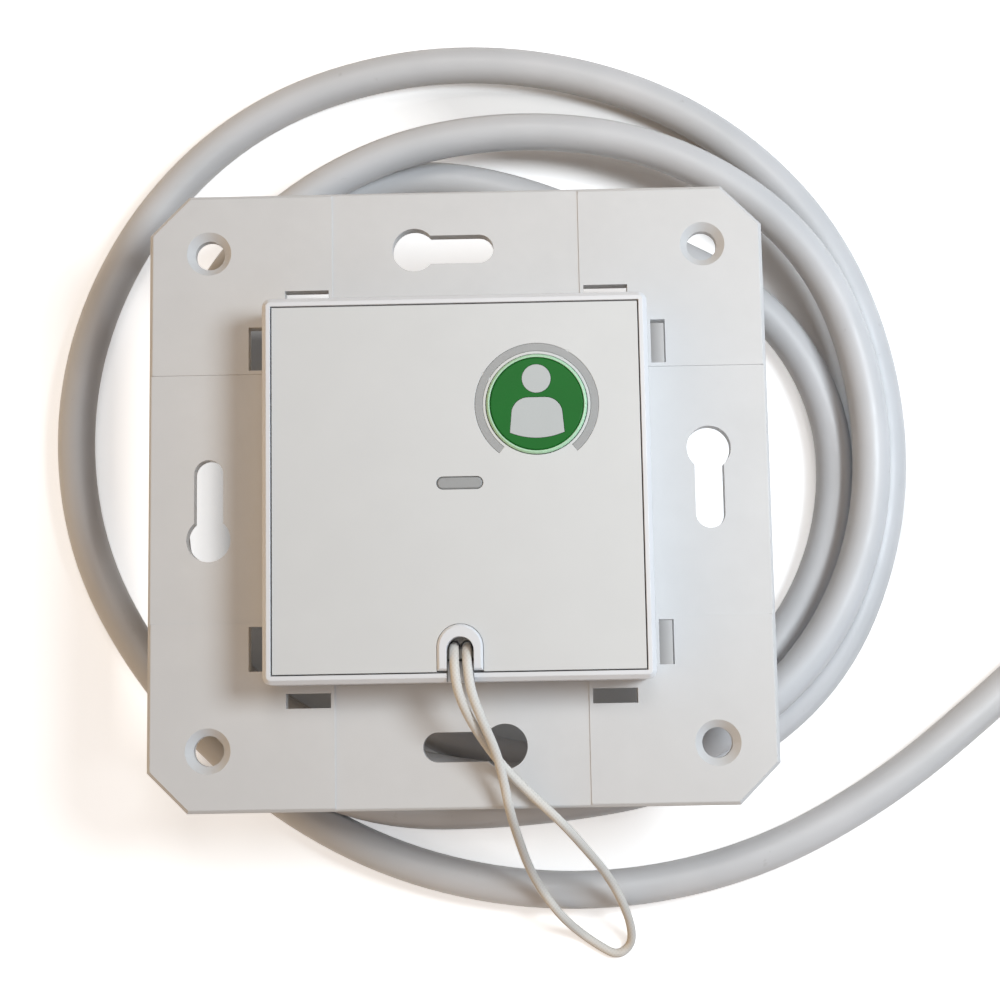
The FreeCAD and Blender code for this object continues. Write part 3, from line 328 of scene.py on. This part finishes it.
def moulded(name, color, roughness, grain, edge, mottle, scattering=0.0, gloss=0.5, rim=None):
    """Injection-moulded plastic: faint blotches and flow, a fine grain and softened edges (both in mm)."""
    g = Graph(name)
    blotch = g.noise(BLOTCH_SCALE, detail=4.0, roughness=0.55)
    flow = g.noise(1.0, detail=2.0, place=g.stretched(*FLOW_STRETCH))
    base = g.ramp(blotch, (0.3, shaded(color, 1 - mottle)), (0.7, shaded(color, 1 + mottle)))
    base = g.mixed(g.between(flow, 0.0, 0.5), base, shaded(color, 1 - mottle / 2))
    radius = g.outer(edge * MM, *rim) if rim else edge * MM
    normal = g.bump(g.noise(GRAIN_SCALE, roughness=0.6), grain * MM, strength=0.6, normal=g.rounded(radius))
    rough = g.between(g.noise(SHEEN_SCALE), roughness - 0.05, roughness + 0.07)
    settings = {"Base_Color": base, "Roughness": rough, "Normal": normal, "Specular_IOR_Level": gloss}
    if scattering:
        settings.update(Subsurface_Weight=scattering, Subsurface_Radius=(0.8, 0.8, 0.8), Subsurface_Scale=0.5 * MM)
    return g.finish(**settings)


def lead_jacket(name):
    """Grey-white sheath: satin, a little uneven along its length, with faint scuffs."""
    g = Graph(name)
    clean, cool, dirt = (0.61, 0.61, 0.62), (0.56, 0.565, 0.575), (0.33, 0.32, 0.30)
    base = g.ramp(g.noise(70.0), (0.35, cool), (0.65, clean))
    scuffs = g.between(g.noise(520.0, detail=6.0, roughness=0.65), 0.0, 0.25, start=0.66, end=0.74)
    base = g.mixed(scuffs, base, dirt)
    waves = g.bump(g.noise(420.0, detail=2.0), 0.05 * MM, strength=0.35)
    normal = g.bump(g.noise(4200.0, detail=2.0), 0.004 * MM, strength=0.6, normal=waves)
    return g.finish(Base_Color=base, Roughness=g.between(g.noise(260.0), 0.36, 0.5), Normal=normal, IOR=1.5,
                    Coat_Weight=0.08, Coat_Roughness=0.35)


def braid(name, color):
    """Fine braided cord: crossing strands drawn along and round the cord, darker between the strands as painted
    shade.
    """
    g = Graph(name)
    strands = []
    for lean in (1.0, -1.0):
        turned = g.add("ShaderNodeMapping", Vector=g.place, Rotation=(0.0, 0.0, lean * BRAID_LEAN))
        turned = turned.outputs["Vector"]
        wave = g.add("ShaderNodeTexWave", Vector=turned, Scale=BRAID_SCALE, Distortion=0.6, Detail=1.0)
        strands.append(wave.outputs["Fac"])
    height = g.maths("MAXIMUM", *strands)
    # Grooves between the strands darker: painted shade.
    base = g.mixed(g.between(height, 0.0, 1.0, start=0.2, end=0.9), shaded(color, 0.91), color)
    base = g.mixed(g.between(g.noise(300.0), 0.0, 0.35), base, shaded(color, 0.9))
    return g.finish(Base_Color=base, Roughness=0.7, Normal=g.bump(height, 0.03 * MM, strength=0.5),
                    Sheen_Weight=0.2)


def metal(name, color, roughness):
    """Bare metal with fine brush lines."""
    g = Graph(name)
    lines = g.noise(1.0, detail=4.0, roughness=0.6, place=g.stretched(900.0, 900.0, 60.0))
    base = g.ramp(lines, (0.3, shaded(color, 0.9)), (0.7, color))
    return g.finish(Base_Color=base, Metallic=1.0, Roughness=g.between(lines, roughness - 0.08, roughness + 0.08),
                    Normal=g.bump(lines, 0.01 * MM, strength=0.4, normal=g.rounded(0.1 * MM)))


def circuit_lacquer(name):
    """Green board lacquer with thin copper tracks showing through it."""
    g = Graph(name)
    cells = g.add("ShaderNodeTexVoronoi", Vector=g.place, Scale=420.0)
    cells.distance = "CHEBYCHEV"
    tracks = g.between(cells.outputs["Distance"], 1.0, 0.0, start=0.30, end=0.36)
    base = g.mixed(tracks, (0.015, 0.17, 0.06), (0.03, 0.27, 0.10))
    return g.finish(Base_Color=base, Roughness=g.between(g.noise(600.0), 0.25, 0.4),
                    Normal=g.bump(tracks, 0.03 * MM, strength=0.4), Coat_Weight=0.4, Coat_Roughness=0.2)


def clear_plastic(name, color, roughness, transmission):
    """Clear plastic with a faint haze and softened edges."""
    g = Graph(name)
    haze = g.noise(500.0, detail=4.0)
    return g.finish(Base_Color=g.ramp(haze, (0.3, shaded(color, 0.94)), (0.7, color)), IOR=1.49,
                    Roughness=g.between(haze, roughness, roughness + 0.1), Transmission_Weight=transmission,
                    Normal=g.bump(g.noise(2500.0), 0.004 * MM, strength=0.5, normal=g.rounded(0.15 * MM)))


def core_insulation(name):
    """Thin coloured insulation: the colour changes from core to core across the bundle."""
    g = Graph(name)
    middle_x = sum(p.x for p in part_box("wire_plug")) / 2
    side = g.between(g.parts()["X"], 0.0, 1.0, start=middle_x - CORE_BLEND, end=middle_x + CORE_BLEND)
    base = g.mixed(side, (0.60, 0.05, 0.03), (0.75, 0.72, 0.66))
    base = g.mixed(g.between(g.noise(800.0), 0.0, 0.3), base, (0.12, 0.16, 0.30))
    return g.finish(Base_Color=base, Roughness=0.4, Normal=g.bump(g.noise(3000.0), 0.005 * MM, strength=0.5))


def turns_shade(g, parts):
    """1 on the strip of floor below the raised turn of the lead, on its upper right side, where the lift is taken
    away as painted shade.
    """
    x, y = (g.maths("SUBTRACT", parts[axis], middle) for axis, middle in zip("XY", TURNS_MIDDLE))
    radius = g.maths("SQRT", g.maths("ADD", g.maths("MULTIPLY", x, x), g.maths("MULTIPLY", y, y)))
    side = g.between(g.maths("ADD", x, y), 0.0, 1.0, *TURNS_SHADE_SIDE)
    return g.maths("MULTIPLY", g.between(g.apart(radius, TURNS_SHADE_R), 1.0, 0.0, *TURNS_SHADE_EDGE), side)


def painted_side_light(g, parts):
    """More lift on the strip of floor that shows beside the left edge of the plate and through its keyhole: painted
    light over the plate's shadow there.
    """
    across, end = (g.apart(parts[axis], middle) for axis, middle in zip("XY", SIDE_LIFT_AT))
    across = g.between(across, 1.0, 0.0, *SIDE_LIFT_EDGE)
    end = g.between(end, 1.0, 0.0, *SIDE_LIFT_END)
    return g.maths("MULTIPLY", g.maths("MULTIPLY", across, end), SIDE_LIFT)


def floor_paper(name):
    """White paper to the camera, with its shadows, and a brown table to the light; painted shade under the module,
    with little lift there and none in a ring below the raised turn, and painted light beside the left edge of the
    plate.
    """
    g = Graph(name)
    parts = g.parts()
    off = [g.apart(parts[axis], middle) for axis, middle in zip("XY", FLOOR_SHADE_MIDDLE)]
    out = g.between(g.maths("MAXIMUM", *off), 0.0, 1.0, *FLOOR_SHADE_EDGE)
    paper = g.ramp(g.noise(9.0, detail=2.0), (0.3, PAPER[0]), (0.7, PAPER[1]))
    seen = g.seen()
    # Dark floor colour under the module: painted shade.
    base = g.mixed(out, FLOOR_SHADE, g.mixed(seen, FLOOR_BOUNCE, paper))
    # Little lift under the module, so its painted shade stays dark; full lift beside it.
    lift = g.between(out, *FLOOR_LIFT, start=0.0, end=1.0)
    # No lift in the ring below the raised turn: painted shade.
    lift = g.maths("MULTIPLY", lift, g.maths("SUBTRACT", 1.0, turns_shade(g, parts)))
    # Painted light over the plate's shadow beside its left edge.
    lift = g.maths("ADD", lift, painted_side_light(g, parts))
    return g.finish(Base_Color=base, Roughness=0.85, Normal=g.bump(g.noise(1400.0), 0.02 * MM, strength=0.2),
                    Emission_Color=(1.0, 1.0, 1.0), Emission_Strength=g.maths("MULTIPLY", seen, lift))


# By the slot in the record. Moulded ones have name, colour, roughness, grain, edge radius, mottle and scattering.
MATERIALS = {
    "plate_white": moulded("plate_plastic", (0.61, 0.605, 0.60), 0.42, 0.006, 0.03, 0.025, rim=PLATE_RIM),
    "housing_white": moulded("housing_plastic", (0.71, 0.715, 0.73), 0.38, 0.003, 0.15, 0.02),
    "panel_grey": moulded("panel_plastic", (0.63, 0.635, 0.63), 0.45, 0.004, 0.12, 0.015),
    "rim_pale_green": moulded("rim_plastic", (0.42, 0.66, 0.45), 0.3, 0.002, 0.15, 0.02),
    "green": moulded("disc_plastic", (0.011, 0.135, 0.02), 0.36, 0.002, 0.12, 0.06, gloss=0.15),
    "symbol_pale": moulded("symbol_plastic", (0.46, 0.485, 0.485), 0.35, 0.002, 0.08, 0.02),
    "dark_plastic": moulded("switch_plastic", (0.02, 0.02, 0.022), 0.45, 0.004, 0.1, 0.2),
    "silicone": moulded("silicone_rubber", (0.58, 0.57, 0.54), 0.6, 0.01, 0.2, 0.04, 0.3),
    "light_grey_diffuser": moulded("diffuser_plastic", (0.35, 0.355, 0.355), 0.4, 0.003, 0.1, 0.02, 0.2),
    "lens": moulded("lens_plastic", (0.32, 0.325, 0.325), 0.35, 0.003, 0.1, 0.02, 0.2),
    "led_body": moulded("led_epoxy", (0.80, 0.74, 0.38), 0.25, 0.002, 0.1, 0.03),
    "slide_white": moulded("slide_plastic", (0.74, 0.73, 0.69), 0.35, 0.003, 0.15, 0.02),
    "crimp_metal": metal("crimp_aluminium", (0.62, 0.62, 0.64), 0.35),
    "spring_steel": metal("spring_strip", (0.48, 0.48, 0.50), 0.3),
    "board_green": circuit_lacquer("board_lacquer"),
    "screw_steel": metal("screw_zinc", (0.58, 0.59, 0.60), 0.32),
    "capacitor_can": metal("capacitor_aluminium", (0.55, 0.57, 0.60), 0.28),
    "component_tan": moulded("component_ceramic", (0.30, 0.20, 0.10), 0.5, 0.01, 0.08, 0.15),
    "core_insulation": core_insulation("core_pvc"),
    "gland_rubber": moulded("gland_rubber", (0.56, 0.56, 0.55), 0.6, 0.012, 0.2, 0.04),
    "lead_jacket": lead_jacket("lead_pvc"),
    "boot_rubber": moulded("boot_rubber", (0.60, 0.615, 0.63), 0.55, 0.01, 0.25, 0.03),
    "clear_plug": clear_plastic("plug_polycarbonate", (0.86, 0.89, 0.91), 0.08, 0.85),
    "contact_gold": metal("contact_plating", (0.83, 0.60, 0.22), 0.22),
    "cord_braid": braid("cord_polyester", (0.70, 0.67, 0.62)),
}


def dress_cad_nodes():
    """Every CAD node in the material of its slot. The lens is a little darker than the light arc."""
    for entry in frame["record"]["subparts"]:
        finish = "lens" if entry["node"] == "indicator_lens" else entry["material_slot"]
        mesh = nodes[entry["node"]].data
        mesh.materials.clear()
        mesh.materials.append(MATERIALS[finish])


# Soft inner pieces, copied from the CAD nodes

def supple_copy(node, name):
    """The form of a CAD node as a new piece."""
    return placed(name, nodes[node].data.copy())


def make_dome():
    """The rubber dome under the button, as a copy that stays with the housing."""
    dome = supple_copy("return_dome", "soft_dome")
    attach(dome, "housing")
    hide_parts("return_dome")
    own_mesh(dome)


def make_spring():
    """The meander spring, as a copy with its place baked into its mesh."""
    spring = supple_copy("pull_spring", "drawn_spring")
    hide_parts("pull_spring")
    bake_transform(spring)


# Cords

def nurbs(name, points, diameter, material):
    """One smooth open line through the control points, as thick as the cord."""
    curve = bpy.data.curves.new(name, "CURVE")
    curve.dimensions = "3D"
    spline = curve.splines.new("NURBS")
    spline.points.add(len(points) - 1)
    for point, (x, y, z) in zip(spline.points, points):
        point.co = (x * MM, y * MM, z * MM, 1.0)
    spline.order_u = 3
    spline.use_endpoint_u = True
    curve.resolution_u = CORD_STEPS
    curve.bevel_depth = diameter / 2
    curve.bevel_resolution = CORD_ROUND_STEPS
    curve.use_fill_caps = True
    curve.materials.append(material)
    return placed(name, curve)


def along(table, position):
    """The values at a position in a table whose rows start with their positions."""
    for (low, *before), (high, *after) in zip(table, table[1:]):
        if position <= high:
            share = (position - low) / (high - low)
            return [a + (b - a) * share for a, b in zip(before, after)]
    return table[-1][1:]


def coil_points():
    """Control points of the put-away turns: a circle's control points lie a little outside it."""
    step = math.radians(COIL_SWEEP / COIL_STEPS)
    points = []
    for k in range(1, COIL_STEPS):
        swept = COIL_SWEEP * k / COIL_STEPS
        radius, z = along(COIL_SHAPE, swept)
        radius /= (1 + math.cos(step / 2)) / 2 * COIL_EASE
        angle = math.radians(COIL_START - swept)
        points.append((COIL_CENTRE[0] + radius * math.cos(angle), COIL_CENTRE[1] + radius * math.sin(angle), z))
    return points


def across_coil(radius, side, z):
    """A place at the tie, from its distance to the coil's middle, its place along the turns and its height."""
    out = heading(TIE_ANGLE)
    place = Vector(COIL_CENTRE) + out * radius + Vector((-out.y, out.x)) * side
    return Vector((place.x, place.y, z)) * MM


def strap_line(strands, offset, lowest):
    """Points round the strands, seen across them, at an even distance from their middles."""
    line = []
    for (radius, z), start, end in strands:
        for k in range(TIE_STEPS + 1):
            angle = math.radians(start + (end - start) * k / TIE_STEPS)
            line.append((radius + offset * math.cos(angle), max(z + offset * math.sin(angle), lowest)))
    return line


def strap(name, strands, low, width, closed):
    """A flat woven strap along the line, with slightly rounded edges."""
    high, half, soft = low + TIE_THICKNESS, width / 2, TIE_THICKNESS / 4
    rows = [(-half, low), (-half, high - soft), (soft - half, high), (half - soft, high), (half, high - soft),
            (half, low)]
    form = bmesh.new()
    loops = []
    for side, offset in rows:
        line = strap_line(strands, offset, TIE_LOWEST if offset > low else TIE_LOWEST + TIE_THICKNESS / 2)
        loops.append([form.verts.new(across_coil(r, side, z)) for r, z in line])
    count = len(loops[0])
    for first, second in zip(loops, loops[1:] + loops[:1]):
        for k in range(count if closed else count - 1):
            following = (k + 1) % count
            form.faces.new((first[k], first[following], second[following], second[k]))
    if not closed:
        for end in (0, count - 1):
            form.faces.new([loop[end] for loop in loops])
    bmesh.ops.recalc_face_normals(form, faces=form.faces)
    return solid_piece(name, form, braid("tie_fabric", (0.05, 0.05, 0.055)))


def solid_piece(name, form, material, smooth=True):
    """The form as a piece that stays with the housing."""
    mesh = bpy.data.meshes.new(name)
    form.to_mesh(mesh)
    form.free()
    mesh.materials.append(material)
    for face in mesh.polygons:
        face.use_smooth = smooth
    piece = placed(name, mesh)
    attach(piece, "housing")
    return piece


def make_leg_seals():
    """Panel plastic in the corners of the openings that the legs of the light arc pass through."""
    low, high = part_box("button_disc")
    middle, top = (low + high) / 2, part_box("front_panel")[1].z - LEG_SEAL_BELOW
    form = bmesh.new()
    for angle in LEG_ANGLES:
        out = heading(angle) * LEG_MIDDLE_R
        place = Matrix.Translation((middle.x + out.x, middle.y + out.y, top - LEG_SEAL_DEPTH / 2))
        sides = Matrix.Diagonal((LEG_SEAL_SIDE, LEG_SEAL_SIDE, LEG_SEAL_DEPTH, 1.0))
        bmesh.ops.create_cube(form, size=1.0, matrix=place @ sides)
    solid_piece("leg_seals", form, MATERIALS["panel_grey"], smooth=False)


def make_tie():
    """Hook-and-loop tie round the put-away turns, its end laid over itself."""
    tie = strap("coil_tie", TIE_STRANDS, TIE_INNER_R, TIE_WIDTH, True)
    end = strap("coil_tie_end", TIE_END_STRANDS, TIE_INNER_R + TIE_THICKNESS, TIE_WIDTH - TIE_THICKNESS, False)
    return [tie, end]


def make_boot():
    """Ribbed boot that tapers from the plug on to the lead."""
    profile = [(-BOOT_TAIL, BOOT_BORE_R), (-BOOT_TAIL, BOOT_TAIL_R), (0.0, BOOT_NECK_R)]
    for k in range(BOOT_RIBS):
        start, rib_r = k * BOOT_PITCH, BOOT_RIB_R[0] + (BOOT_RIB_R[1] - BOOT_RIB_R[0]) * k / (BOOT_RIBS - 1)
        profile += [(start + share * BOOT_PITCH, rib_r + step) for share, step in BOOT_RIB_FORM]
        profile += [(start + share * BOOT_PITCH, BOOT_NECK_R) for share in BOOT_NECK_FORM]
    profile += [(BOOT_LENGTH, BOOT_RIB_R[1]), (BOOT_LENGTH, BOOT_BORE_R)]
    turn = Matrix.Translation(Vector(BOOT_AT) * MM) @ Matrix.Rotation(math.radians(BOOT_HEADING), 4, "Z")
    form = bmesh.new()
    rings = []
    for k in range(BOOT_SIDES):
        a = 2 * math.pi * k / BOOT_SIDES
        ring = [turn @ (Vector((x, r * math.cos(a), r * math.sin(a))) * MM) for x, r in profile]
        rings.append([form.verts.new(place) for place in ring])
    for first, second in zip(rings, rings[1:] + rings[:1]):
        for a, b, c, d in zip(first, first[1:], second[1:], second):
            form.faces.new((a, b, c, d))
        form.faces.new((first[-1], first[0], second[0], second[-1]))
    bmesh.ops.recalc_face_normals(form, faces=form.faces)
    boot = solid_piece("ribbed_boot", form, MATERIALS["boot_rubber"])
    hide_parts("plug_boot")
    return boot


def make_lead():
    lead = nurbs("lead", LEAD_ROUTE + coil_points() + LEAD_END_ROUTE, LEAD_D, MATERIALS["lead_jacket"])
    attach(lead, "housing")
    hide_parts("call_cable", "call_cable_coil", "call_cable_end")
    plug = [nodes["plug_body"], nodes["plug_contacts"], make_boot(), *make_tie()]


def make_pull_cord():
    cord = nurbs("pull_loop", PULL_ROUTE, PULL_CORD_D, MATERIALS["cord_braid"])
    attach(cord, "pull")
    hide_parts("pull_cord")


# Camera, floor and light

def make_camera():
    data = bpy.data.cameras.new("camera")
    data.sensor_width = SENSOR_WIDTH
    data.lens = FOCAL_PX / IMAGE_SIDE_PX * SENSOR_WIDTH
    data.clip_start = CLIP_START
    camera = placed("camera", data)
    ahead = CAMERA_RIGHT.cross(CAMERA_DOWN)
    turn = Matrix((CAMERA_RIGHT, -CAMERA_DOWN, -ahead)).transposed().normalized()
    camera.matrix_world = Matrix.Translation(CAMERA_AT) @ turn.to_4x4()
    bpy.context.scene.camera = camera


def make_floor():
    mesh = bpy.data.meshes.new("floor")
    grid = bmesh.new()
    bmesh.ops.create_grid(grid, x_segments=FLOOR_SQUARES, y_segments=FLOOR_SQUARES, size=FLOOR_HALF)
    grid.to_mesh(mesh)
    grid.free()
    mesh.materials.append(floor_paper("floor_paper"))
    placed("floor", mesh)


def area_light(name, place, size, power, color):
    data = bpy.data.lights.new(name, "AREA")
    data.shape = "DISK"
    data.size = size
    data.energy = power
    data.color = color
    light = placed(name, data)
    light.location = place
    light.visible_camera = False
    light.rotation_euler = (LIGHT_TARGET - Vector(place)).to_track_quat("-Z", "Y").to_euler()


def make_world():
    """Light from all round, warm from one side, cool from the other, stronger in front, before a pale backdrop."""
    g = Graph("studio", bpy.data.worlds, "Background", "Generated")
    parts = g.parts()
    light = g.ramp(g.between(parts["X"], 0.0, 1.0, start=-1.0, end=1.0), *WORLD_LIGHT)
    light = g.mixed(1.0, light, g.between(parts["Y"], *WORLD_FRONT_BACK, start=-1.0, end=1.0), blend="MULTIPLY")
    bpy.context.scene.world = g.finish(Color=g.mixed(g.seen(), light, BACKDROP))


def make_light():
    for light in LIGHTS:
        area_light(*light)
    make_world()
    bpy.context.scene.view_settings.view_transform = "Standard"


make_camera()
make_lead()
make_pull_cord()
dress_cad_nodes()
make_dome()
make_spring()
make_leg_seals()
make_floor()
make_light()
